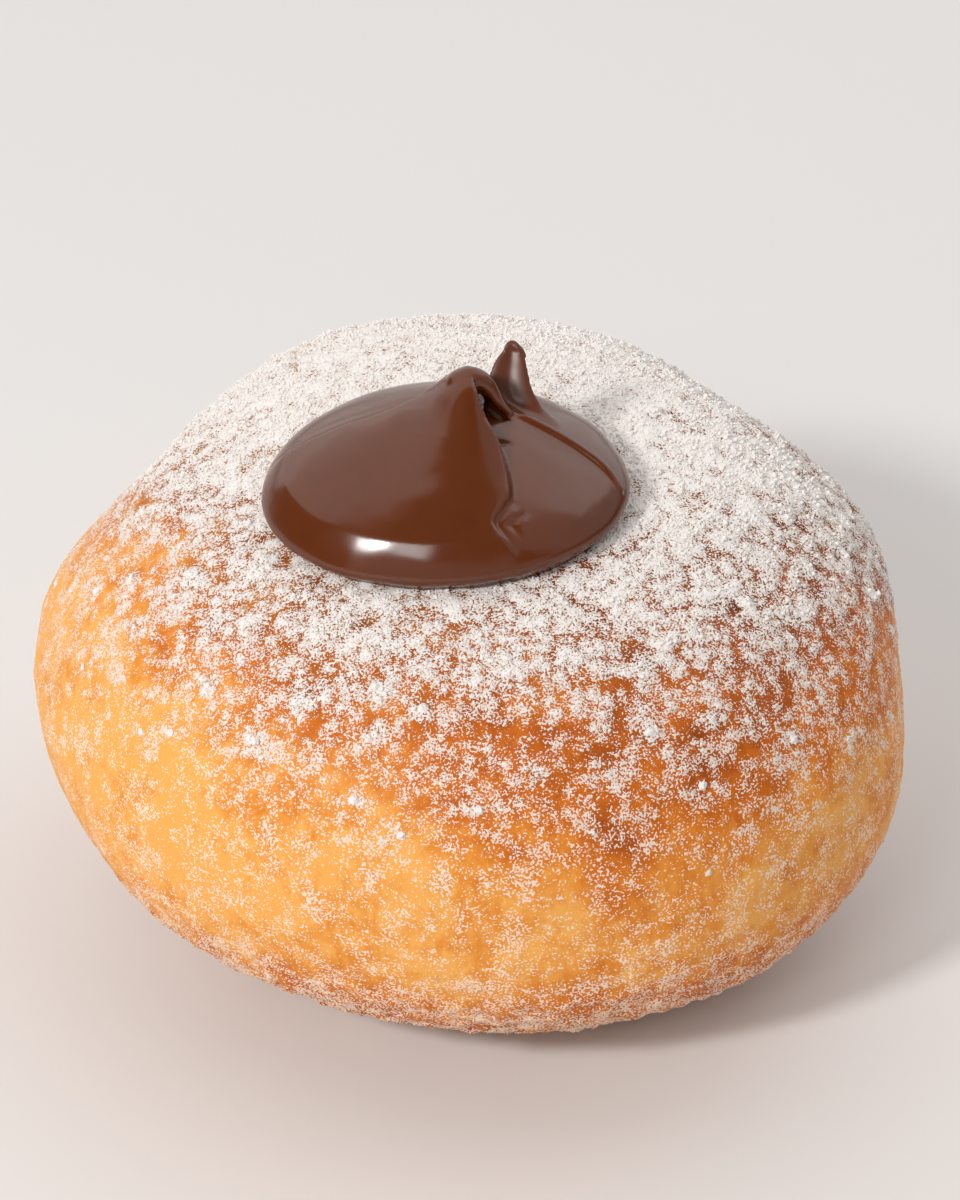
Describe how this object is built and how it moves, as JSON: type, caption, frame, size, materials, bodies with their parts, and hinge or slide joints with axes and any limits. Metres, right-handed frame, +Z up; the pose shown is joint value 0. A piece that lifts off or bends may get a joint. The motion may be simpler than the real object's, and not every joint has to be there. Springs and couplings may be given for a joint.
{
  "type": "filled bombolone",
  "caption": "Round fried dough bun with a small flat foot, dusted with icing sugar, topped with a glossy dollop of chocolate cream drawn up to a curled peak and a tail.",
  "frame": {"origin": "on the surface the bun stands on, under the middle of its box", "axes": "+Z up; +X to the right of the side that faces the viewer; +Y away from the viewer"},
  "size_m": [0.0902, 0.0878, 0.0649],
  "materials": {
    "fried_dough": "matte",
    "chocolate_cream": "gloss"
  },
  "bodies": {
    "root": {"fried_bun": "fried_dough", "cream_dollop": "chocolate_cream"}
  },
  "joints": []
}
